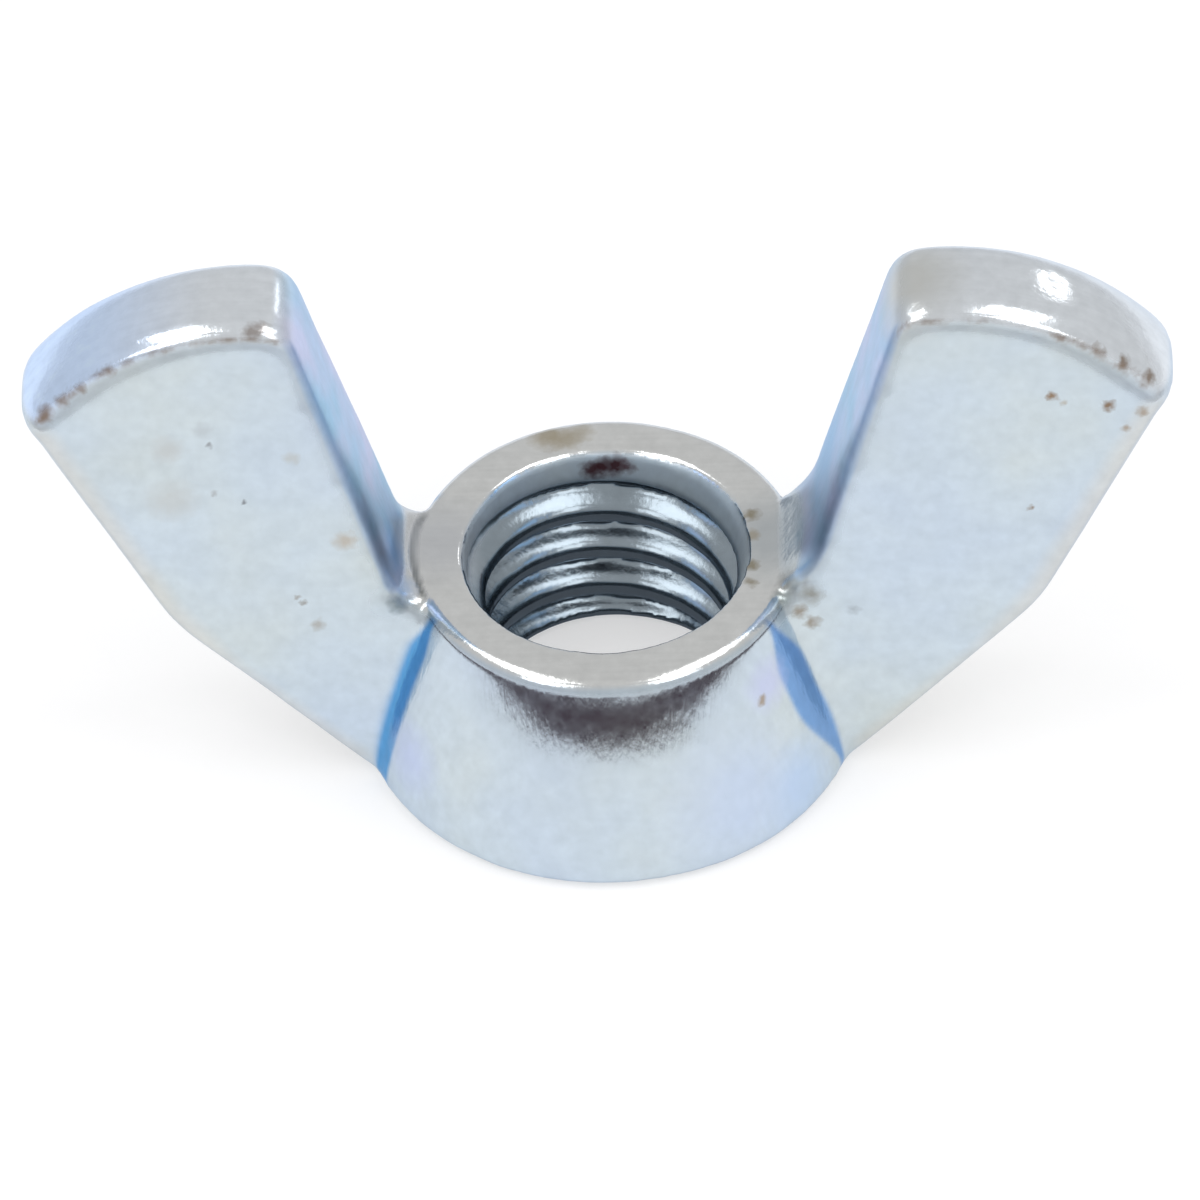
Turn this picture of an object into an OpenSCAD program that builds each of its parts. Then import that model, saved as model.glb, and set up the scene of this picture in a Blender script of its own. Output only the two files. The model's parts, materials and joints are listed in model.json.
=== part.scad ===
// Forged wing nut for a 5/16-18 screw: a tapped conical boss with two drafted wings, in one piece.
// The origin is the centre of the base, on the thread's axis. +Z runs up the axis, +X along the wings.

/* [Bore] */
// Drilled bore that the thread is tapped in
bore_d = 6.65; // [6.4:0.05:6.9]
// Mouth of the recess in the collar
top_mouth_d = 7.8; // [7.6:0.1:8.4]
// Width of that recess at the foot of its wall
recess_d = 7.3; // [7:0.1:7.5]
// Depth of the recess at the foot of its wall
recess_depth = 1.1; // [0.7:0.05:1.4]
// Angle of the recess's floor from the axis
recess_floor_angle = 60; // [45:1:75]
// Mouth of the countersink in the base
base_mouth_d = 7.5; // [7.1:0.1:8]
// Angle of the countersink's wall from the axis
countersink_angle = 45; // [35:1:55]

/* [Boss] */
// Height of the boss, from the base to the collar
boss_h = 6.2; // [5.7:0.05:6.6]
// Width of the boss across its base, before the edge is rounded
boss_base_d = 13.9; // [13.2:0.05:14.4]
// Width of the boss across the collar, before the edge is rounded
collar_d = 10.4; // [10.2:0.1:11.2]
// How far the cone between them bulges at half its height
cone_bulge = 0.13; // [0.03:0.01:0.2]
// Rounding of the collar's edge
collar_round = 0.5; // [0.25:0.05:0.65]
// Rounding of the base's edge
base_round = 0.3; // [0.15:0.05:0.45]

/* [Wings] */
// Distance across both wing tips
wing_span = 31.1; // [30.2:0.1:32]
// Height of the wing tips above the base
wing_h = 16.15; // [15.3:0.05:16.9]
// Distance between the wings' inner edges at the height of the tips
tip_gap = 16.2; // [15.7:0.1:17.2]
// Wing thickness at the base
wing_root_t = 4.5; // [3.8:0.05:4.85]
// Wing thickness at the height of the tips
wing_tip_t = 2.95; // [2.5:0.05:3.65]
// How far the crowned rims of the wings stand out past the edges of the faces
rim_crown = 0.32; // [0.17:0.01:0.41]
// How deep into the thickness that crown runs from each face
rim_depth = 0.8; // [0.35:0.05:1.15]
// How far the rims stand out where they face outward, at the sides of the tips
outer_crown = 0.58; // [0.4:0.01:0.64]
// How deep into the thickness the crown runs there
outer_depth = 1.3; // [0.6:0.05:1.4]

/* [Wing outline] */
// Radius of the crowned tip
crown_r = 7.2; // [6.8:0.05:7.8]
// Distance between the highest points of the two crowns
crown_span = 19.1; // [18.5:0.1:19.7]
// Radius of the tip's outer corner
outer_corner_r = 0.7; // [0.65:0.05:0.9]
// How far that corner stands out past the outer edge below it
tip_lip = 0.05; // [0.03:0.01:0.12]
// Fillet under that lip
lip_fillet = 1; // [0.9:0.1:1.4]
// Radius of the tip's inner corner
inner_corner_r = 1.1; // [0.6:0.05:1.35]
// Radius of the knee where the outer edge turns in toward the boss
knee_r = 4.5; // [3:0.5:5.5]
// Distance between the centres of the two knees
knee_span = 16.3; // [15.6:0.1:17]
// Height of the centres of the knees
knee_h = 8.1; // [7.7:0.05:8.6]

/* [Wing roots] */
// Distance from the axis to the foot of the left wing's inner edge
left_root_x = 5.55; // [5.5:0.05:6.1]
// Slope of the land between the collar and the left wing
left_root_slope = 28; // [15:1:45]
// Fillet between that land and the left wing's inner edge
left_root_fillet = 0.45; // [0.35:0.05:2.2]
// Distance from the axis to the foot of the right wing's inner edge
right_root_x = 5.6; // [5.5:0.05:6.1]
// Slope of the land between the collar and the right wing
right_root_slope = 48; // [15:1:52]
// Fillet between that land and the right wing's inner edge
right_root_fillet = 2.9; // [0.3:0.1:3.1]
// Fillet between the faces of the wings and the cone of the boss
side_fillet = 0.6; // [0.35:0.05:0.85]

/* [Hidden] */

$fn = 96;
// Cutters run this far past what they cut
past = 1;

base_r = boss_base_d / 2;
collar_r = collar_d / 2;
// The bulged cone is the arc of a large circle from the base's edge to the collar's
cone_half = norm([base_r - collar_r, boss_h]) / 2;
cone_arc_r = cone_half * cone_half / 2 / cone_bulge + cone_bulge / 2;
cone_out = [boss_h, base_r - collar_r] / 2 / cone_half;
cone_centre = [base_r + collar_r, boss_h] / 2 - (cone_arc_r - cone_bulge) * cone_out;
// How far each wing face closes in for each millimetre of height
draft = (wing_root_t - wing_tip_t) / 2 / wing_h;

// Each wing's outline starts inside the boss, this far in from the collar's edge and below its top
root_in = 0.85;
root_below = 0.3;
root_round = 0.45;
buried = [collar_r - root_in, boss_h - root_below];
// Its toe stands this far off the seat and out past the base
toe_up = 0.1;
toe_out = 0.05;
toe = [base_r + toe_out, toe_up];
// The deeper crown of the tips is full where the rim faces within this angle of outward
outer_fan = 40;
// It fades in over this height above the knees
outer_fade = 3;
// The fillet under the lip stops this far short of the corner
lip_gap = 0.03;
// A point from which the whole of a wing's face is in sight, just above the collar and over the base's edge
hub_up = 0.1;
face_hub = [base_r, boss_h + hub_up];

// Longest step and largest turn along an arc of the outline
arc_step = 0.25;
arc_turn = 10;
rim_steps = 5;
edge_steps = 6;
cone_steps = 8;
fillet_steps = 7;
fillet_levels = 14;
// The side fillets sink this far into both neighbours, and shrink to a fifth over their last stretch
fillet_sink = 0.015;
fillet_runout = 0.9;
fillet_end = 0.2;

function clamp(v) = max(-1, min(1, v));
function turn(a) = ((a % 360) + 360) % 360;
function polar(a) = [cos(a), sin(a)];
function half_t(z) = wing_root_t / 2 - draft * z;
// Where the cone is at a height, or a circle at that height that touches it from inside
function cone_r(z, inset = 0) =
    cone_centre[0] + sqrt(pow(cone_arc_r - inset, 2) - pow(z - cone_centre[1], 2));
function arc(centre, r, from, to, steps) =
    [for (k = [0 : steps]) centre + r * polar(from + (to - from) * k / steps)];

// Direction of the outward normal on the straight that runs from one outline circle to the next.
// A circle is [x, z, radius], and a radius below zero turns the outline the other way, as a fillet.
function straight_normal(a, b) =
    let (run = [b[0] - a[0], b[1] - a[1]])
    atan2(run[1], run[0]) - acos(clamp((a[2] - b[2]) / norm(run)));

// Every station of a belt run round the circles: [x, z, radius, direction of the normal]
function belt(circles) = [
    for (i = [0 : len(circles) - 1])
        let (
            c = circles[i],
            before = circles[(i + len(circles) - 1) % len(circles)],
            after = circles[(i + 1) % len(circles)],
            start = straight_normal(before, c),
            end = straight_normal(c, after),
            sweep = c[2] < 0 ? -turn(start - end) : turn(end - start),
            length = abs(sweep * c[2]) * PI / 180,
            steps = ceil(max(3, abs(sweep) / arc_turn, length / arc_step))
        )
        for (k = [0 : steps]) [c[0], c[1], c[2], start + sweep * k / steps]
];

function station(s, inset) = [s[0], s[1]] + (s[2] - inset) * polar(s[3]);
// A size of the rim, which goes over from the plain value to the outward one at the sides of the tips
function rim_size(s, plain, outward) =
    let (
        facing = min(1, max(0, cos(s[3]) / cos(outer_fan))),
        risen = min(1, max(0, (station(s, 0)[1] - knee_h) / outer_fade))
    )
    plain + (outward - plain) * facing * risen;

// Circles of one wing's outline, anticlockwise from the toe on the base
function wing_circles(root_x, slope, fillet) =
    let (
        crown = [crown_span / 2, wing_h - crown_r],
        // The outer corner lies inside the crown, and no lower than the crown's centre
        outer_x = wing_span / 2 - outer_corner_r,
        outer_rise = sqrt(max(0, pow(crown_r - outer_corner_r, 2) - pow(outer_x - crown[0], 2))),
        outer = [outer_x, crown[1] + outer_rise],
        // The outer edge passes inside that corner by the lip, and the fillet leads it out again
        knee = [knee_span / 2, knee_h, knee_r],
        edge_turn = straight_normal(knee, [outer[0], outer[1], outer_corner_r - tip_lip]),
        lip_reach = outer_corner_r - tip_lip + lip_fillet,
        lip_run = sqrt(pow(outer_corner_r + lip_fillet + lip_gap, 2) - pow(lip_reach, 2)),
        lip = outer + lip_reach * polar(edge_turn) - lip_run * polar(edge_turn + 90),
        // The inner edge runs from the end of the land to the height of the tips
        foot = [root_x, buried[1] + (root_x - buried[0]) * tan(slope)],
        lean = atan2(tip_gap / 2 - foot[0], wing_h - foot[1]),
        along = [sin(lean), cos(lean)],
        across = [cos(lean), -sin(lean)],
        // The inner corner lies against that edge and inside the crown
        from = foot + across * inner_corner_r - crown,
        reach = sqrt(pow(crown_r - inner_corner_r, 2) - pow(from * across, 2)) - from * along,
        inner = crown + from + along * reach,
        // The root fillet's centre is on the open side of the land and the edge
        half_bend = (90 - lean - slope) / 2,
        root = foot + fillet / cos(half_bend) * polar(slope + half_bend + 90)
    )
    [
        [toe[0] - root_round, toe[1] + root_round, root_round],
        knee,
        [lip[0], lip[1], -lip_fillet],
        [outer[0], outer[1], outer_corner_r],
        [crown[0], crown[1], crown_r],
        [inner[0], inner[1], inner_corner_r],
        [root[0], root[1], -fillet],
        [buried[0] + root_round * sin(slope), buried[1] - root_round * cos(slope), root_round],
        [buried[0] + root_round, toe[1] + root_round, root_round]
    ];

// One drafted wing with crowned rims, on the +X side
module wing(root_x, slope, fillet) {
    stations = belt(wing_circles(root_x, slope, fillet));
    count = len(stations);
    turns = [for (k = [0 : rim_steps]) 90 * k / rim_steps];
    // Rings of the outline from the front face round the rim to the back: [side, share of inset, of drop]
    front = [for (a = turns) [-1, 1 - sin(a), 1 - cos(a)]];
    rings = concat(front, [for (k = [rim_steps : -1 : 0]) [1, front[k][1], front[k][2]]]);
    last = (len(rings) - 1) * count;
    points = concat(
        [
            for (r = rings)
                for (s = stations)
                    let (
                        p = station(s, r[1] * rim_size(s, rim_crown, outer_crown)),
                        drop = r[2] * rim_size(s, rim_depth, outer_depth)
                    )
                    [p[0], r[0] * (half_t(p[1]) - drop), p[1]]
        ],
        [for (side = [-1, 1]) [face_hub[0], side * half_t(face_hub[1]), face_hub[1]]]
    );
    front_hub = len(points) - 2;
    back_hub = len(points) - 1;
    faces = concat(
        [for (i = [0 : count - 1]) [front_hub, (i + 1) % count, i]],
        [
            for (j = [0 : len(rings) - 2])
                for (i = [0 : count - 1])
                    for (half = [0, 1])
                        let (a = j * count + i, b = j * count + (i + 1) % count)
                            half == 0 ? [a, b, b + count] : [a, b + count, a + count]
        ],
        [for (i = [0 : count - 1]) [back_hub, last + i, last + (i + 1) % count]]
    );
    polyhedron(points, faces, convexity = 6);
}

// Concave fillet in the corner between the cone of the boss and a wing's face, at +X and +Y
module side_blend() {
    top = boss_h - collar_round;
    bottom = toe[1] + rim_crown;
    size = fillet_steps + 2;
    // Each level holds the fillet's arc and one point buried in the metal behind it
    points = [
        for (level = [0 : fillet_levels])
            let (
                z = bottom + (top - bottom) * level / fillet_levels,
                full = min(1, (top - z) / fillet_runout, (z - bottom) / fillet_runout),
                r = side_fillet * (fillet_end + (1 - fillet_end) * full),
                h = half_t(z) - fillet_sink,
                cone = cone_r(z) - fillet_sink,
                x = sqrt(pow(cone + r, 2) - pow(h + r, 2)),
                behind = [sqrt(cone * cone - h * h), h] - [1, 1] * root_round
            )
            for (p = concat(arc([x, h + r], r, 270, 180 + atan2(h + r, x), fillet_steps), [behind]))
                [p[0], p[1], z]
    ];
    faces = concat(
        [[for (k = [0 : size - 1]) (size - 1 + k) % size]],
        [
            for (j = [0 : fillet_levels - 1])
                for (i = [0 : size - 1])
                    for (half = [0, 1])
                        let (a = j * size + i, b = j * size + (i + 1) % size)
                            half == 0 ? [a, b + size, b] : [a, a + size, b + size]
        ],
        [[for (k = [size : -1 : 1]) fillet_levels * size + (size - 1 + k) % size]]
    );
    polyhedron(points, faces, convexity = 4);
}

// Solid, slightly bulged cone of the boss with its two rounded edges
module boss() {
    base_edge = [cone_r(base_round, base_round), base_round];
    collar_z = boss_h - collar_round;
    collar_edge = [cone_r(collar_z, collar_round), collar_z];
    base_turn = atan2(base_edge[1] - cone_centre[1], base_edge[0] - cone_centre[0]);
    collar_turn = atan2(collar_edge[1] - cone_centre[1], collar_edge[0] - cone_centre[0]);
    cone = arc(cone_centre, cone_arc_r, base_turn, collar_turn, cone_steps);
    rotate_extrude()
        polygon(concat(
            [[0, 0]],
            arc(base_edge, base_round, -90, base_turn, edge_steps),
            [for (k = [1 : cone_steps - 1]) cone[k]],
            arc(collar_edge, collar_round, collar_turn, 90, edge_steps),
            [[0, boss_h]]
        ));
}

// Cutter for the steep-walled recess in the collar
module recess() {
    foot = [recess_d / 2, boss_h - recess_depth];
    rotate_extrude()
        polygon([
            [0, boss_h + past],
            [0, foot[1] - foot[0] / tan(recess_floor_angle)],
            foot,
            [top_mouth_d / 2, boss_h],
            [top_mouth_d / 2, boss_h + past]
        ]);
}

// Cutter for the countersink in the base
module countersink() {
    spread = tan(countersink_angle);
    translate([0, 0, -past])
        cylinder(h = past + base_mouth_d / 2 / spread, r1 = base_mouth_d / 2 + past * spread, r2 = 0);
}

module wing_nut() {
    color([0.80, 0.84, 0.88])
        difference() {
            union() {
                boss();
                wing(right_root_x, right_root_slope, right_root_fillet);
                mirror([1, 0, 0])
                    wing(left_root_x, left_root_slope, left_root_fillet);
                for (x = [0, 1], y = [0, 1])
                    mirror([x, 0, 0])
                        mirror([0, y, 0])
                            side_blend();
            }
            translate([0, 0, -past])
                cylinder(h = boss_h + 2 * past, d = bore_d);
            countersink();
            recess();
        }
}

wing_nut();
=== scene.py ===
import json
import math

import bmesh
import bpy
from mathutils import Matrix, Vector, noise


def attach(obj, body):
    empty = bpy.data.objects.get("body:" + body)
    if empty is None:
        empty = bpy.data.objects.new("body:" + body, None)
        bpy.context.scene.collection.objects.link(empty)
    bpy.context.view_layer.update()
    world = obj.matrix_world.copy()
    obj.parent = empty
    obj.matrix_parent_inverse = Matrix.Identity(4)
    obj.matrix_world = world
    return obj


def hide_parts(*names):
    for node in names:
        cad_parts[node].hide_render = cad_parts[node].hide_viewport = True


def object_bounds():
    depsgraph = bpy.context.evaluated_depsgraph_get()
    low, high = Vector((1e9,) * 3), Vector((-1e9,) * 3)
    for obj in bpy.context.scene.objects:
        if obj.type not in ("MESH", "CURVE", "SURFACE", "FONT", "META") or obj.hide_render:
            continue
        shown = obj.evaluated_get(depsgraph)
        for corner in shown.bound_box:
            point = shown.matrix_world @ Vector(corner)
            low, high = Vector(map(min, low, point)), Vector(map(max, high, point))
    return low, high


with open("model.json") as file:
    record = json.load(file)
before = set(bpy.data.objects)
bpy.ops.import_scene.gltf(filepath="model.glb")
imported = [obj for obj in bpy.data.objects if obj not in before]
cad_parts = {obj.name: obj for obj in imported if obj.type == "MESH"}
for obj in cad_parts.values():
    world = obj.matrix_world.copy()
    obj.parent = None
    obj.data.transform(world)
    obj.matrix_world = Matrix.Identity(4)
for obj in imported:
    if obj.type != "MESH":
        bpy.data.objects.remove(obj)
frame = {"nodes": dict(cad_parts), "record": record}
cad_low, cad_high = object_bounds()

# Wing nut
# One cold-forged steel blank: a conical boss with two drafted wings, drilled, recessed and tapped.
# It is electroplated with bright zinc under a clear blue passivate, which leaves it pale, blue and satin.
# The forged wings come from the solid, the boss is turned and tapped, and one skin goes over both.

MM = 0.001

# Section of the boss and taper of the wings, in mm. The collar's round is tighter than the solid's,
# because the smoothing below rounds it further.
boss_h = 6.2
boss_base_r = 6.95
collar_r = 5.2
cone_bulge = 0.13
collar_round = 0.35
base_round = 0.3
bore_r = frame["record"]["mounts"][0]["dims"]["r_mm"]
top_mouth_r = 3.9
recess_r = 3.65
recess_depth = 1.1
recess_floor_angle = math.radians(60)
base_mouth_r = 3.75
boss_turns = 288
round_segments = 8
wing_half_root = 2.25
wing_draft = 0.048
side_fillet = 0.6

# Right-hand 5/16-18 thread, in mm
thread_major_r = 4.0
thread_pitch = 1.411
thread_flank = math.radians(30)
thread_root_flat = thread_pitch / 8
thread_start = -1.057
thread_turns = 7
thread_steps = 120

# Spacing of the skin's points, and how far the forging wanders from true, in mm
skin_step = 0.124
turned_smoothing = 6
forged_smoothing = 9
waves = [(4.0, 0.025), (1.2, 0.008)]


def keep_solid(bm, name):
    """Closes a bmesh, turns it outwards and gives it an object at the origin."""
    bmesh.ops.remove_doubles(bm, verts=bm.verts, dist=skin_step / 1000)
    bmesh.ops.recalc_face_normals(bm, faces=bm.faces)
    mesh = bpy.data.meshes.new(name)
    bm.to_mesh(mesh)
    bm.free()
    made = bpy.data.objects.new(name, mesh)
    bpy.context.scene.collection.objects.link(made)
    return made


def bake_modifiers(obj):
    """Leaves the object with the mesh that its modifiers give."""
    evaluated = obj.evaluated_get(bpy.context.evaluated_depsgraph_get())
    finished = bpy.data.meshes.new_from_object(evaluated)
    obj.modifiers.clear()
    obj.data = finished


def cut(obj, cutter):
    """Takes the cutter out of the object."""
    boolean = obj.modifiers.new("cut", "BOOLEAN")
    boolean.operation = "DIFFERENCE"
    boolean.solver = "EXACT"
    boolean.object = cutter
    bake_modifiers(obj)
    bpy.data.objects.remove(cutter)


def spun_section(corners, rounds, name):
    """Turns a section of (radius, height) corners about Z. rounds gives the radius at some corners."""
    bm = bmesh.new()
    points = [bm.verts.new((r, 0, z)) for r, z in corners]
    bm.faces.new(points)
    places = [p.co.copy() for p in points]
    for index, radius in rounds.items():
        to_last = places[index - 1] - places[index]
        to_next = places[(index + 1) % len(places)] - places[index]
        bmesh.ops.bevel(
            bm, geom=[points[index]], offset=radius / math.tan(to_last.angle(to_next) / 2),
            offset_type="OFFSET", affect="VERTICES", segments=round_segments, profile=0.5, material=-1)
    bmesh.ops.delete(bm, geom=bm.faces[:], context="FACES_ONLY")
    bmesh.ops.spin(
        bm, geom=bm.verts[:] + bm.edges[:], cent=(0, 0, 0), axis=(0, 0, 1), dvec=(0, 0, 0),
        angle=2 * math.pi, steps=boss_turns, use_merge=True, use_normal_flip=False, use_duplicate=False)
    return keep_solid(bm, name)


# The cone's side is a shallow arc that stands out by the bulge at half height
side_run = Vector((collar_r - boss_base_r, boss_h))
side_out = Vector((side_run.y, -side_run.x)).normalized()
bulge_r = side_run.length_squared / 8 / cone_bulge + cone_bulge / 2
bulge_centre = Vector((boss_base_r, 0)) + side_run / 2 - side_out * (bulge_r - cone_bulge)


def cone_radius(z):
    """Radius of the bulged cone at a height."""
    return bulge_centre.x + math.sqrt(bulge_r ** 2 - (z - bulge_centre.y) ** 2)


# Turned boss with its bore, the recess in its collar and the countersink in its base
side_levels = [boss_h * k / 8 for k in range(1, 8)]
boss = spun_section(
    [
        (boss_base_r, 0),
        *[(cone_radius(z), z) for z in side_levels],
        (collar_r, boss_h),
        (top_mouth_r, boss_h),
        (recess_r, boss_h - recess_depth),
        (bore_r, boss_h - recess_depth - (recess_r - bore_r) / math.tan(recess_floor_angle)),
        (bore_r, base_mouth_r - bore_r),
        (base_mouth_r, 0),
    ],
    {0: base_round, len(side_levels) + 1: collar_round},
    "turned_boss")

# Tap: one pitch of the thread's section is wound up the bore, and its ends are closed outside the boss
tap_clearance = 0.1
tap_core_r = bore_r - tap_clearance
tap_half_w = thread_root_flat / 2 + (thread_major_r - tap_core_r) * math.tan(thread_flank)
bm = bmesh.new()
tap_points = [
    bm.verts.new((r, 0, thread_start - thread_pitch + z))
    for r, z in (
        (tap_core_r, -tap_half_w),
        (thread_major_r, -thread_root_flat / 2),
        (thread_major_r, thread_root_flat / 2),
        (tap_core_r, tap_half_w),
        (tap_core_r, thread_pitch - tap_half_w),
    )
]
for lower, upper in zip(tap_points, tap_points[1:]):
    bm.edges.new((lower, upper))
bmesh.ops.spin(
    bm, geom=bm.verts[:] + bm.edges[:], cent=(0, 0, 0), axis=(0, 0, 1),
    dvec=(0, 0, thread_pitch / thread_steps), angle=2 * math.pi * thread_turns,
    steps=thread_turns * thread_steps, use_merge=False, use_normal_flip=False, use_duplicate=False)
bmesh.ops.remove_doubles(bm, verts=bm.verts, dist=skin_step / 1000)
ends = bmesh.ops.holes_fill(bm, edges=[e for e in bm.edges if e.is_boundary], sides=0)
bmesh.ops.poke(bm, faces=ends["faces"])
cut(boss, keep_solid(bm, "tap"))

# Forged wings: the solid with the middle of its boss taken out, so that the turned boss takes its place
bm = bmesh.new()
bm.from_mesh(frame["nodes"]["wing_nut"].data)
bmesh.ops.scale(bm, vec=(1 / MM, 1 / MM, 1 / MM), verts=bm.verts)
wing_nut = keep_solid(bm, "wing_nut_plated")
core_r = (top_mouth_r + collar_r) / 2
bm = bmesh.new()
bmesh.ops.create_cone(
    bm, cap_ends=True, segments=boss_turns, radius1=core_r, radius2=core_r, depth=4 * boss_h)
cut(wing_nut, keep_solid(bm, "core"))

# Both become one skin of even points
bm = bmesh.new()
bm.from_mesh(wing_nut.data)
bm.from_mesh(boss.data)
bm.to_mesh(wing_nut.data)
bm.free()
bpy.data.objects.remove(boss)
skin = wing_nut.modifiers.new("skin", "REMESH")
skin.mode = "VOXEL"
skin.voxel_size = skin_step
bake_modifiers(wing_nut)


def ease(value, start, end):
    """Goes smoothly from 0 at start to 1 at end."""
    share = min(max((value - start) / (end - start), 0.0), 1.0)
    return share * share * (3 - 2 * share)


# Run of the wings' outer edge as (distance from the middle, height), and small dents as place, radius
# and depth, in mm
outer_run = [Vector(p) for p in ((15.0, 12.3), (13.5, 9.2), (12.0, 6.1), (10.25, 3.65), (7.2, 0.6))]
dents = [
    ((12.4, 0.35, 15.56), 0.5, 0.02), ((-8.5, -1.0, 16.05), 0.3, 0.03), ((-8.25, -0.5, 16.0), 0.22, 0.03),
    ((8.1, -0.4, 16.0), 0.22, 0.03), ((8.6, -1.05, 16.0), 0.3, 0.03), ((-12.2, 0.2, 15.6), 0.24, 0.07),
    ((-12.6, 0.3, 15.4), 0.22, 0.06), ((4.67, -1.54, 6.2), 0.25, 0.03), ((5.52, -1.93, 6.7), 0.25, 0.03),
    ((5.13, -1.94, 6.31), 0.2, 0.03), ((-6.15, -1.93, 6.71), 0.2, 0.03),
]

# Rough spots where the dies pressed flash at the foot of the wings: place, radius, and depth of the lumps
rough_spots = [((-5.9, -1.95, 6.3), 1.0, 0.07), ((5.4, -1.95, 6.3), 1.1, 0.07), ((5.9, -1.2, 6.5), 0.9, 0.05)]
lump_size = 0.4
crease_depth = 0.05


def off_run(point, run):
    """Distance from a point to the nearest straight of a run of points."""
    nearest = []
    for a, b in zip(run, run[1:]):
        share = min(max((point - a).dot(b - a) / (b - a).length_squared, 0.0), 1.0)
        nearest.append((point - a - share * (b - a)).length)
    return min(nearest)


# The turned boss is smoothed a little, and the forged rest as far as tumbling and plating round its edges
bm = bmesh.new()
bm.from_mesh(wing_nut.data)
forged = [v for v in bm.verts if v.co.xy.length > collar_r + skin_step or v.co.z > boss_h + skin_step]
for verts, rounds in ((bm.verts, turned_smoothing), (forged, forged_smoothing)):
    for _ in range(rounds):
        bmesh.ops.smooth_vert(bm, verts=verts, factor=0.5, use_axis_x=True, use_axis_y=True, use_axis_z=True)

# Small waves left by the dies, the dents, a crease beside the left wing, and marks from 0 to 1 for where
# the surface differs: collar, tips, thread (painted shade), the fillets beside the cone, and the edges of the
# wings
bm.normal_update()
mark_names = (
    "collar", "tip", "blue_tip", "tip_edge", "thread", "left_fillet", "right_fillet", "inner_edge", "corner",
    "outer_edge", "crease", "rough")
marks = {name: bm.verts.layers.float.new(name) for name in mark_names}
shifts = {}
for v in bm.verts:
    x, y, z = v.co
    reach = v.co.xy.length
    in_bore = reach < top_mouth_r + skin_step and z < boss_h - skin_step
    off_face = abs(y) - wing_half_root + wing_draft * z
    off_cone = reach - cone_radius(min(z, boss_h))
    if x < 0:
        strip_middle = 0.4
        strip_half = 0.12 + 0.17 * ease(z, 5.9, 4.8)
    else:
        strip_middle = 0.35 + 0.5 * ease(z, 0.2, 3.5)
        strip_half = 0.08 + 0.42 * ease(z, 0.2, 3) * ease(z, 6, 4.4)
    on_boss = ease(off_cone, side_fillet, 0.8 * side_fillet) * ease(z, boss_h, boss_h - 0.3)
    on_boss *= ease(v.normal.z, -0.6, -0.2)
    in_fillet = ease(abs(off_face - strip_middle), strip_half + 0.09, strip_half - 0.09) * on_boss
    in_fillet = 0.0 if in_bore or y > 0 and x > 0 else in_fillet
    inwards = max(0.0, -v.normal.x * math.copysign(1, x))
    on_wing = ease(reach, collar_r, collar_r + 0.4) * ease(z, boss_h, boss_h + 0.5)
    upward = ease(v.normal.z, 0.5, 0.85)
    on_tip = ease(z, boss_h + 4, boss_h + 6)
    front_edge = ease(v.normal.z, 0.04, 0.12) * ease(v.normal.z, 0.6, 0.4) * ease(-v.normal.y, 0, 0.5)
    beside_collar = ease(abs(x), 4.3, 4.8) * ease(z, boss_h - 0.7, boss_h - 0.4)
    front_edge *= max(beside_collar, ease(z, boss_h, boss_h + 0.3))
    tip_line = ease(v.normal.z, 0.22, 0.36) * ease(v.normal.z, 0.66, 0.5) * ease(-v.normal.y, 0.6, 0.75)
    tip_top = ease(v.normal.z, 0.2, 0.55) * on_tip
    in_corner = 4 * inwards ** 2 * v.normal.y ** 2 * on_wing
    spotted = max(ease((v.co - Vector(at)).length, r, 0) for at, r, depth in rough_spots)
    off_crease = abs(reach - collar_r) if x < 0 else collar_r
    creased = ease(off_crease, 0.16, 0.04) * ease(abs(y), 1.9, 1.4) * upward
    below_recess = ease(z, boss_h - 0.7 * recess_depth, boss_h - 1.2 * recess_depth)
    levels = {
        "collar": 0.0 if in_bore else upward * ease(z, boss_h + 2.5, boss_h + 1.5),
        "tip": tip_top,
        "blue_tip": tip_top * ease(x, -10, -14),
        "tip_edge": tip_line * on_tip,
        # Painted shade: the thread below the recess is marked for a darker colour that stands for the shade
        # in the bore
        "thread": below_recess if in_bore else 0.0,
        "left_fillet": in_fillet if x < 0 else 0.0,
        "right_fillet": in_fillet if x > 0 else 0.0,
        "inner_edge": inwards * on_wing,
        "corner": in_corner,
        "outer_edge": ease(off_run(Vector((abs(x), z)), outer_run), 0.9, 0.1),
        # Painted shade: the crease is marked for a dark grey that stands for the shade in it
        "crease": creased,
        "rough": 1.0 - 0.9 * below_recess if in_bore else max(
            0.48 * front_edge, 0.6 * in_corner, 0.45 * inwards * on_wing, 0.6 * spotted, 0.8 * creased),
    }
    for name, layer in marks.items():
        v[layer] = levels[name]
    if not in_bore and z > skin_step:
        wander = sum(depth * noise.noise(v.co / size) for size, depth in waves)
        dented = sum(depth * ease((v.co - Vector(at)).length, r, 0) for at, r, depth in dents)
        lumps = sum(depth * ease((v.co - Vector(at)).length, r, 0) for at, r, depth in rough_spots)
        lumps *= noise.noise(v.co / lump_size)
        shifts[v] = v.normal * (wander + lumps - dented - crease_depth * creased)
for v, shift in shifts.items():
    v.co += shift

# Nothing stands outside the solid's box, and the mesh goes back to metres
box_low, box_high = cad_low / MM, cad_high / MM
for v in bm.verts:
    v.co = Vector(min(max(c, low), high) for c, low, high in zip(v.co, box_low, box_high))
bmesh.ops.scale(bm, vec=(MM, MM, MM), verts=bm.verts)
bm.to_mesh(wing_nut.data)
bm.free()
wing_nut.data.shade_smooth()


def linear(colour):
    """The linear colour that shaders take, from an sRGB hex value."""
    parts = [int(colour[i:i + 2], 16) / 255 for i in (1, 3, 5)]
    return (*[c / 12.92 if c <= 0.04045 else ((c + 0.055) / 1.055) ** 2.4 for c in parts], 1.0)


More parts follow.
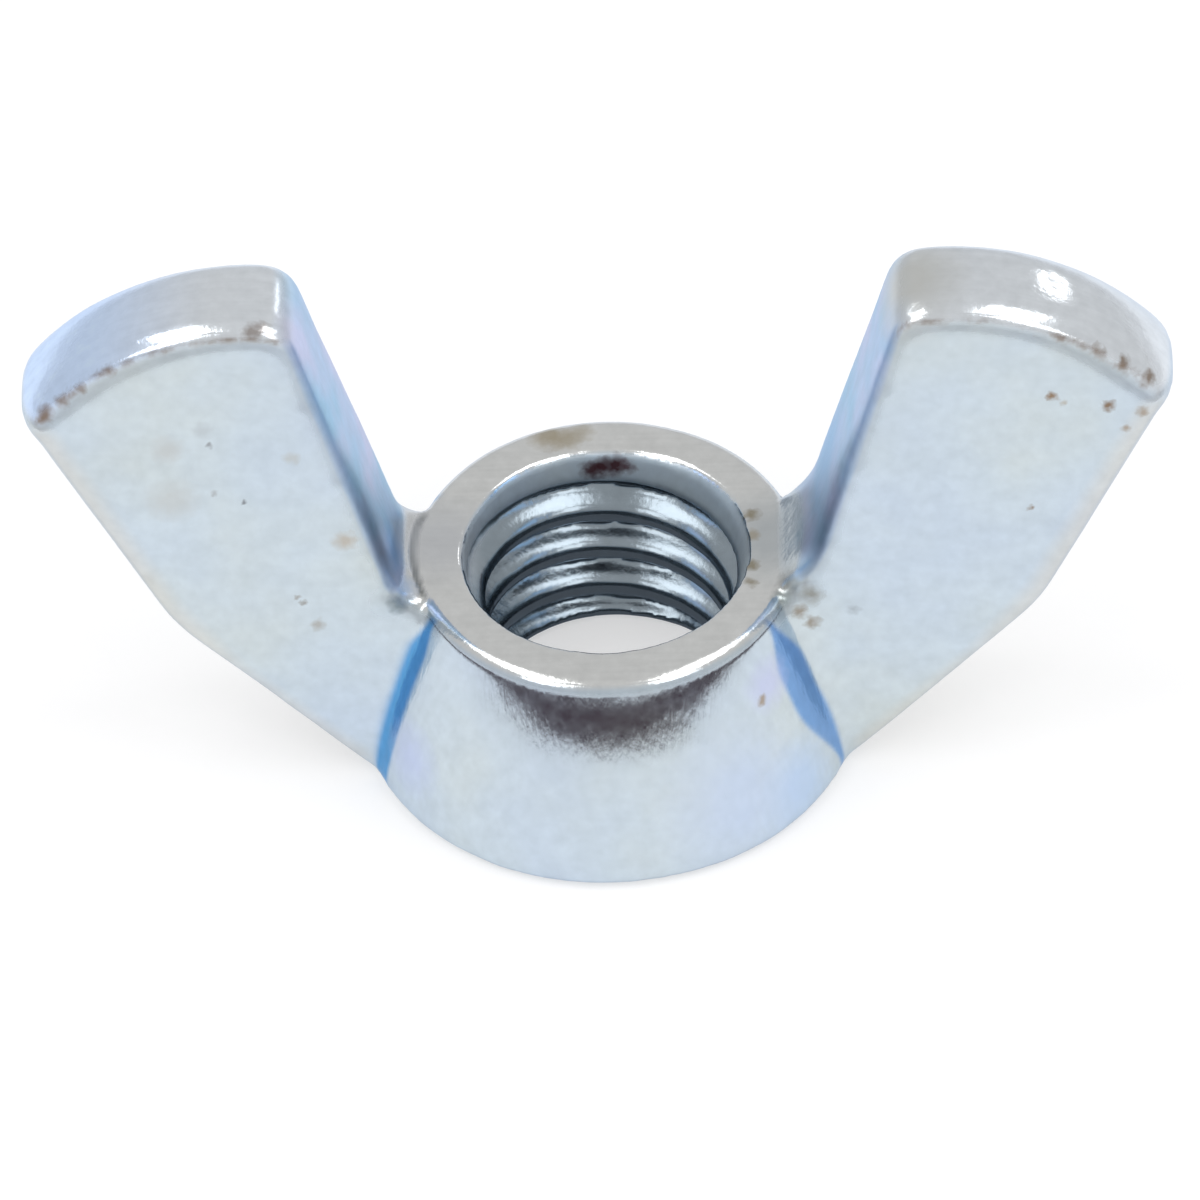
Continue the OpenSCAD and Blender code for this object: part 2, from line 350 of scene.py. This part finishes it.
def add_node(tree, kind, sockets=None, **settings):
    """Adds a node: settings go on the node, and each socket takes a value or another node's output."""
    made = tree.nodes.new(kind)
    for name, value in settings.items():
        setattr(made, name, value)
    for name, value in (sockets or {}).items():
        if isinstance(value, bpy.types.NodeSocket):
            tree.links.new(value, made.inputs[name])
        else:
            made.inputs[name].default_value = value
    return made


# Bright zinc plate with a blue passivate: a satin metal whose film drifts from pale blue to straw, is
# neutral where it faces up, lavender on the inner edges and deepest blue where it gathered in the fillets
zinc = bpy.data.materials.new("blue_passivated_zinc")
zinc.use_nodes = True
tree = zinc.node_tree
tree.nodes.clear()
place = add_node(tree, "ShaderNodeTexCoord").outputs["Object"]

drift = add_node(
    tree, "ShaderNodeTexNoise", {"Vector": place, "Scale": 1 / (6 * MM), "Detail": 3.0}).outputs["Fac"]
film = add_node(tree, "ShaderNodeValToRGB", {"Fac": drift})
film.color_ramp.elements[0].position = 0.32
film.color_ramp.elements[0].color = linear("#C4D1DF")
film.color_ramp.elements[1].position = 0.70
film.color_ramp.elements[1].color = linear("#CBD4D5")
middle = film.color_ramp.elements.new(0.5)
middle.color = linear("#C7D3DC")
colour = film.outputs["Color"]

# On the inner edges it is thicker and drifts from sky blue to lavender
edge_drift = add_node(
    tree, "ShaderNodeTexNoise", {"Vector": place, "Scale": 1 / (2.5 * MM), "Detail": 2.0}).outputs["Fac"]
edge_film = add_node(tree, "ShaderNodeValToRGB", {"Fac": edge_drift})
edge_film.color_ramp.elements[0].position = 0.36
edge_film.color_ramp.elements[0].color = linear("#A6CBE6")
edge_film.color_ramp.elements[1].position = 0.64
edge_film.color_ramp.elements[1].color = linear("#CCD1EC")

# Where the colour differs: attribute, range that it fades in over, share and colour; thread and crease are
# painted shade
for name, first, last, share, tint in (
    ("outer_edge", 0.1, 1.0, 0.45, linear("#D6CEC0")),
    ("collar", 0.0, 1.0, 1.0, linear("#D8D9D8")),
    ("tip", 0.0, 1.0, 1.0, linear("#E2E7EC")),
    ("blue_tip", 0.0, 1.0, 1.0, linear("#D0E3FF")),
    # Painted shade: the thread's dark grey stands for the shade inside the bore
    ("thread", 0.0, 1.0, 1.0, linear("#8F9AA2")),
    ("inner_edge", 0.3, 0.9, 0.95, edge_film.outputs["Color"]),
    ("corner", 0.3, 1.0, 0.6, linear("#8FABD2")),
    ("left_fillet", 0.0, 1.0, 0.95, linear("#4F97CF")),
    ("right_fillet", 0.0, 1.0, 0.9, linear("#6C9AD0")),
    # Painted shade: the crease's dark grey stands for the shade in the groove
    ("crease", 0.1, 1.0, 0.85, linear("#5A5D5C")),
):
    mark = add_node(tree, "ShaderNodeAttribute", attribute_name=name).outputs["Fac"]
    level = add_node(
        tree, "ShaderNodeMapRange", {"Value": mark, "From Min": first, "From Max": last, "To Max": share})
    colour = add_node(
        tree, "ShaderNodeMix", {0: level.outputs["Result"], 6: colour, 7: tint}, data_type="RGBA").outputs[2]

# Mottling, and streaks along the wings as the dies left them
mottle = add_node(
    tree, "ShaderNodeTexNoise", {"Vector": place, "Scale": 1 / (0.4 * MM), "Detail": 4.0}).outputs["Fac"]
drawn = add_node(
    tree, "ShaderNodeVectorMath", {0: place, 1: (1 / (3 * MM), 1 / (0.2 * MM), 1 / (0.9 * MM))},
    operation="MULTIPLY").outputs["Vector"]
streak = add_node(
    tree, "ShaderNodeTexNoise", {"Vector": drawn, "Scale": 1.0, "Detail": 3.0}).outputs["Fac"]
for pattern, low, high in ((mottle, 0.94, 1.05), (streak, 0.965, 1.03)):
    level = add_node(
        tree, "ShaderNodeMapRange",
        {"Value": pattern, "From Min": 0.25, "From Max": 0.75, "To Min": low, "To Max": high})
    colour = add_node(
        tree, "ShaderNodeMix", {0: 1.0, 6: colour, 7: level.outputs["Result"]},
        data_type="RGBA", blend_type="MULTIPLY").outputs[2]

# Stains and specks: place and radius in mm, colour, share. Their edges are ragged by a fine noise.
stains = [
    ((5.2, -4.2, 1.2), 1.4, "#B5CDEE", 0.6), ((-5.2, -3.4, 1.9), 1.1, "#C0CAEC", 0.6),
    ((4.3, -3.7, 4.6), 0.8, "#C3C7EA", 0.6), ((-5.85, -0.8, 7.2), 0.85, "#6FA3D6", 0.7),
    ((6.3, 0.6, 9.2), 1.7, "#8FC2E6", 0.7), ((3.4, -5.4, 2.0), 2.2, "#BFCFEE", 0.5),
    ((-4.6, 0.5, 6.2), 1.7, "#C0C3C8", 0.6), ((4.7, 0.3, 6.2), 1.8, "#ADB4B8", 0.7),
    ((-10.46, -1.67, 12.16), 0.11, "#8F9296", 0.8), ((-10.56, -1.64, 12.67), 0.3, "#B4BBC0", 0.5),
    ((-9.62, -1.77, 10.09), 0.1, "#83878C", 0.9), ((-10.39, -1.75, 10.40), 0.12, "#A9ADB0", 0.7),
    ((-11.60, -1.67, 12.02), 0.5, "#BDBFBE", 0.6), ((-11.56, -1.76, 10.19), 0.75, "#BFC2C1", 0.6),
    ((-8.28, -1.69, 11.62), 0.25, "#B9BBB8", 0.6), ((-6.96, -1.84, 8.59), 0.35, "#B5A999", 0.7),
    ((-8.18, -1.94, 6.38), 0.12, "#9A9894", 0.8), ((-8.39, -1.93, 6.57), 0.1, "#A09E9A", 0.8),
    ((-7.84, -1.98, 5.57), 0.22, "#A7A39C", 0.7), ((-14.86, -1.5, 13.29), 0.3, "#8A7768", 0.8),
    ((-14.37, -1.54, 13.79), 0.25, "#8C7A6C", 0.8), ((-13.81, -1.55, 14.26), 0.2, "#8C7A6C", 0.7),
    ((-13.02, -1.52, 14.83), 0.2, "#94867A", 0.6), ((-9.08, -1.32, 16.01), 0.3, "#8A7B70", 0.7),
    ((-8.78, -1.18, 16.05), 0.2, "#8A7B70", 0.6), ((12.23, -1.62, 13.08), 0.17, "#8A6F52", 0.9),
    ((12.52, -1.63, 12.85), 0.15, "#AFA596", 0.7), ((13.75, -1.64, 12.7), 0.2, "#806548", 0.9),
    ((11.61, -1.81, 9.16), 0.1, "#8F7F6E", 0.9), ((14.66, -1.65, 12.46), 0.22, "#A29484", 0.8),
    ((14.23, -1.68, 11.87), 0.15, "#A29484", 0.8), ((6.72, -1.98, 5.64), 0.2, "#A9B2B9", 0.8),
    ((5.28, -1.98, 5.66), 0.25, "#8E8272", 0.8), ((5.6, -2.0, 5.21), 0.25, "#8E8272", 0.8),
    ((4.19, -4.07, 4.32), 0.18, "#A08E74", 0.8), ((-1.55, 4.54, 6.2), 0.55, "#A99F88", 0.8),
    ((-1.06, 4.36, 6.2), 0.45, "#A99F88", 0.7), ((-0.67, 4.66, 6.2), 0.4, "#B0A894", 0.6),
    ((-0.42, 3.73, 5.64), 0.3, "#4A2028", 0.9), ((-0.14, 3.77, 5.67), 0.35, "#4A2028", 0.95),
    ((0.27, 3.77, 5.73), 0.35, "#4A2028", 0.95), ((0.6, 3.77, 5.73), 0.25, "#5A3038", 0.8),
    ((4.0, 1.22, 6.2), 0.25, "#8C8269", 0.8), ((4.0, 0.4, 6.2), 0.25, "#A39A86", 0.7),
    ((4.0, -0.73, 6.2), 0.25, "#8C8269", 0.8), ((4.0, -1.4, 6.2), 0.2, "#8C8269", 0.7),
    ((13.54, -1.43, 14.62), 0.2, "#8F7F6E", 0.7), ((14.2, -1.41, 14.1), 0.22, "#86705A", 0.8),
    ((14.87, -1.32, 13.43), 0.25, "#86705A", 0.8),
    ((8.4, 0, 16.1), 1.6, "#CECFCC", 0.9), ((5.0, -1.6, 6.3), 0.4, "#8C8F8C", 0.7),
    ((5.6, -1.9, 6.2), 0.35, "#8A8578", 0.7), ((4.75, -2.0, 6.1), 0.3, "#7F8C8C", 0.7),
    ((-5.6, -1.95, 6.2), 0.35, "#6F8088", 0.7), ((-5.15, -1.9, 6.25), 0.25, "#7A8890", 0.6),
    ((-5.5, -1.5, 6.35), 0.45, "#9DB8DC", 0.6),
]
ragged_reach = 0.4 * MM
shove = add_node(
    tree, "ShaderNodeTexNoise", {"Vector": place, "Scale": 1 / (0.25 * MM), "Detail": 4.0}).outputs["Color"]
shove = add_node(
    tree, "ShaderNodeVectorMath", {0: shove, 1: (0.5, 0.5, 0.5)}, operation="SUBTRACT").outputs["Vector"]
ragged = add_node(
    tree, "ShaderNodeVectorMath", {0: shove, 1: (ragged_reach, ragged_reach, ragged_reach), 2: place},
    operation="MULTIPLY_ADD").outputs["Vector"]
for at, radius, tint, share in stains:
    off = add_node(
        tree, "ShaderNodeVectorMath", {0: ragged, 1: Vector(at) * MM}, operation="DISTANCE").outputs["Value"]
    level = add_node(
        tree, "ShaderNodeMapRange",
        {"Value": off, "From Min": 1.2 * radius * MM, "From Max": 0.3 * radius * MM, "To Max": share})
    colour = add_node(
        tree, "ShaderNodeMix", {0: level.outputs["Result"], 6: colour, 7: linear(tint)}, data_type="RGBA"
    ).outputs[2]

# Dirt has settled along the front edges of the tips
edge_mark = add_node(tree, "ShaderNodeAttribute", attribute_name="tip_edge").outputs["Fac"]
dirty = add_node(
    tree, "ShaderNodeTexNoise", {"Vector": place, "Scale": 1 / (0.6 * MM), "Detail": 4.0}).outputs["Fac"]
dirty = add_node(
    tree, "ShaderNodeMapRange", {"Value": dirty, "From Min": 0.42, "From Max": 0.62, "To Max": 0.75})
dirty = add_node(tree, "ShaderNodeMath", {0: dirty.outputs[0], 1: edge_mark}, operation="MULTIPLY")
colour = add_node(
    tree, "ShaderNodeMix", {0: dirty.outputs[0], 6: colour, 7: linear("#8A7666")}, data_type="RGBA"
).outputs[2]

# The recess, the edges and the flash at the foot of the wings are rougher than the rest
satin = add_node(
    tree, "ShaderNodeMapRange", {"Value": mottle, "To Min": 0.1, "To Max": 0.19}).outputs["Result"]
rough_mark = add_node(tree, "ShaderNodeAttribute", attribute_name="rough").outputs["Fac"]
roughness = add_node(tree, "ShaderNodeMix", {0: rough_mark, 2: satin, 3: 0.62}).outputs[0]
upright = add_node(
    tree, "ShaderNodeVectorMath", {0: place, 1: (1 / (0.16 * MM), 1 / (0.16 * MM), 1 / (1.2 * MM))},
    operation="MULTIPLY").outputs["Vector"]
grain = add_node(
    tree, "ShaderNodeTexNoise", {"Vector": upright, "Scale": 1.0, "Detail": 4.0}).outputs["Fac"]
relief = add_node(
    tree, "ShaderNodeBump", {"Height": grain, "Strength": 0.6, "Distance": 0.01 * MM}).outputs["Normal"]
plate = add_node(
    tree, "ShaderNodeBsdfPrincipled",
    {"Base Color": colour, "Metallic": 1.0, "Roughness": roughness, "Normal": relief,
     "Specular Tint": linear("#E4EBF4")})
add_node(tree, "ShaderNodeOutputMaterial", {"Surface": plate.outputs["BSDF"]})

wing_nut.data.materials.clear()
wing_nut.data.materials.append(zinc)
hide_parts("wing_nut")
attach(wing_nut, "root")

# Floor and backdrop
# A white sheet: a wide flat round with a low rim, so that every view of the nut ends in white.

sheet_r = 0.8
sheet_rim_h = 0.09
bm = bmesh.new()
bmesh.ops.create_circle(bm, cap_ends=True, segments=96, radius=sheet_r)
rim = bmesh.ops.extrude_edge_only(bm, edges=[e for e in bm.edges if e.is_boundary])["geom"]
bmesh.ops.translate(bm, vec=(0, 0, sheet_rim_h), verts=[g for g in rim if isinstance(g, bmesh.types.BMVert)])
mesh = bpy.data.meshes.new("floor")
bm.to_mesh(mesh)
bm.free()
floor = bpy.data.objects.new("floor", mesh)
bpy.context.scene.collection.objects.link(floor)

paper = bpy.data.materials.new("white_paper")
paper.use_nodes = True
tree = paper.node_tree
tree.nodes.clear()
ray = add_node(tree, "ShaderNodeLightPath").outputs
seen = add_node(
    tree, "ShaderNodeMath", {0: ray["Is Camera Ray"], 1: ray["Is Glossy Ray"]}, operation="MAXIMUM")
seen = add_node(
    tree, "ShaderNodeMath", {0: seen.outputs[0], 1: ray["Is Transmission Ray"]}, operation="MAXIMUM")
lift = add_node(tree, "ShaderNodeMath", {0: seen.outputs[0], 1: 0.5}, operation="MULTIPLY")
matt = add_node(tree, "ShaderNodeBsdfDiffuse", {"Color": linear("#BFBFC0")})
glow = add_node(tree, "ShaderNodeEmission", {"Strength": lift.outputs[0]})
both = add_node(tree, "ShaderNodeAddShader", {0: matt.outputs[0], 1: glow.outputs[0]})
add_node(tree, "ShaderNodeOutputMaterial", {"Surface": both.outputs[0]})
floor.data.materials.append(paper)

# Dark room
# A low dark wall stands in an arc in front of the nut, and a dim disc of painted shade, standing for the
# shadowed floor under the nut, lies under its hole.
# Only the metal shows them: the dark crescent on the cone, and the dark bands between the turns.

dark_wall_h = 0.0045
dark_wall_y = -0.029
dark_wall_r = 0.060
dark_half_turn = math.radians(64)
shade_disc_z = 0.1 * MM
bm = bmesh.new()
foot = bm.verts.new((0, dark_wall_y, 0))
head = bm.verts.new((0, dark_wall_y, dark_wall_h))
post = bm.edges.new((foot, head))
centre = (0, dark_wall_y + dark_wall_r, 0)
bmesh.ops.rotate(bm, cent=centre, matrix=Matrix.Rotation(-dark_half_turn, 3, "Z"), verts=bm.verts)
bmesh.ops.spin(
    bm, geom=[foot, head, post], cent=centre, axis=(0, 0, 1), dvec=(0, 0, 0),
    angle=2 * dark_half_turn, steps=48, use_merge=False, use_normal_flip=False, use_duplicate=False)
disc = bmesh.ops.create_circle(
    bm, cap_ends=True, segments=48, radius=base_mouth_r * MM, matrix=Matrix.Translation((0, 0, shade_disc_z)))
disc["verts"][0].link_faces[0].material_index = 1
mesh = bpy.data.meshes.new("dark_room")
bm.to_mesh(mesh)
bm.free()
dark_room = bpy.data.objects.new("dark_room", mesh)
bpy.context.scene.collection.objects.link(dark_room)
# The dim disc's grey is painted shade: it stands for the floor in the nut's shadow under the hole
for name, shade in (("dark_wall", "#46343C"), ("painted_shade_disc", "#787C82")):
    card = bpy.data.materials.new(name)
    card.use_nodes = True
    tree = card.node_tree
    tree.nodes.clear()
    glow = add_node(tree, "ShaderNodeEmission", {"Color": linear(shade), "Strength": 1.0})
    add_node(tree, "ShaderNodeOutputMaterial", {"Surface": glow.outputs[0]})
    dark_room.data.materials.append(card)
dark_room.visible_camera = False
dark_room.visible_diffuse = False
dark_room.visible_shadow = False
dark_room.visible_transmission = False

# Light
# A grey, even studio with two broad lamps high on the left and right, two softer ones beside the camera,
# and a small one behind on the right.

world = bpy.data.worlds.new("studio")
world.use_nodes = True
tree = world.node_tree
tree.nodes.clear()
sky = add_node(tree, "ShaderNodeBackground", {"Color": linear("#DCDCDC"), "Strength": 1.0})
add_node(tree, "ShaderNodeOutputWorld", {"Surface": sky.outputs[0]})
bpy.context.scene.world = world


def soft_lamp(name, azimuth, elevation, distance, width, height, radiance):
    """A rectangular lamp that faces the nut, with the radiance that its front shows."""
    data = bpy.data.lights.new(name, "AREA")
    data.shape = "RECTANGLE"
    data.size = width
    data.size_y = height
    data.energy = radiance * math.pi * width * height
    lamp = bpy.data.objects.new(name, data)
    a, e = math.radians(azimuth), math.radians(elevation)
    towards = Vector((math.sin(a) * math.cos(e), -math.cos(a) * math.cos(e), math.sin(e)))
    lamp.location = towards * distance
    lamp.rotation_euler = towards.to_track_quat("Z", "Y").to_euler()
    bpy.context.scene.collection.objects.link(lamp)


soft_lamp("high_left", -80, 64, 0.40, 0.24, 0.15, 2.4)
soft_lamp("high_right", 80, 64, 0.40, 0.24, 0.15, 2.4)
soft_lamp("front_left", -38, 42, 0.45, 0.14, 0.2, 2.0)
soft_lamp("front_right", 38, 42, 0.45, 0.14, 0.2, 2.0)
soft_lamp("back_right", 144, 29, 0.45, 0.045, 0.045, 3.0)

# Camera
# It looks down on the nut at 45 degrees from far off, turned and rolled a little as the photo is.

# Photo's width and the place of the base's middle in it, in pixels. Distances are in mm.
photo_px = 1200
base_px = (612.65, 710.64)
px_per_mm = 36.28
view_distance = 395.5
view_down = math.radians(44.966)
view_roll = math.radians(2.743)
view_yaw = math.radians(1.770)

turned = Matrix.Rotation(view_yaw, 3, "Z")
ahead = turned @ Vector((0, math.cos(view_down), -math.sin(view_down)))
across = turned @ Vector((1, 0, 0))
below = ahead.cross(across)
right = math.cos(view_roll) * across + math.sin(view_roll) * below
down = -math.sin(view_roll) * across + math.cos(view_roll) * below
focal_px = px_per_mm * view_distance
off_x, off_y = (p - photo_px / 2 for p in base_px)
aim = (ahead - right * off_x / focal_px - down * off_y / focal_px).normalized()
side = (right - aim * right.dot(aim)).normalized()

camera_data = bpy.data.cameras.new("camera")
camera_data.sensor_width = 36
camera_data.lens = camera_data.sensor_width * focal_px / photo_px
camera_data.clip_start = 0.01
camera_data.clip_end = 10
camera = bpy.data.objects.new("camera", camera_data)
bpy.context.scene.collection.objects.link(camera)
facing = Matrix((side, side.cross(aim), -aim)).transposed()
camera.matrix_world = Matrix.Translation(-ahead * view_distance * MM) @ facing.to_4x4()
bpy.context.scene.camera = camera

bpy.context.scene.view_settings.view_transform = "Standard"
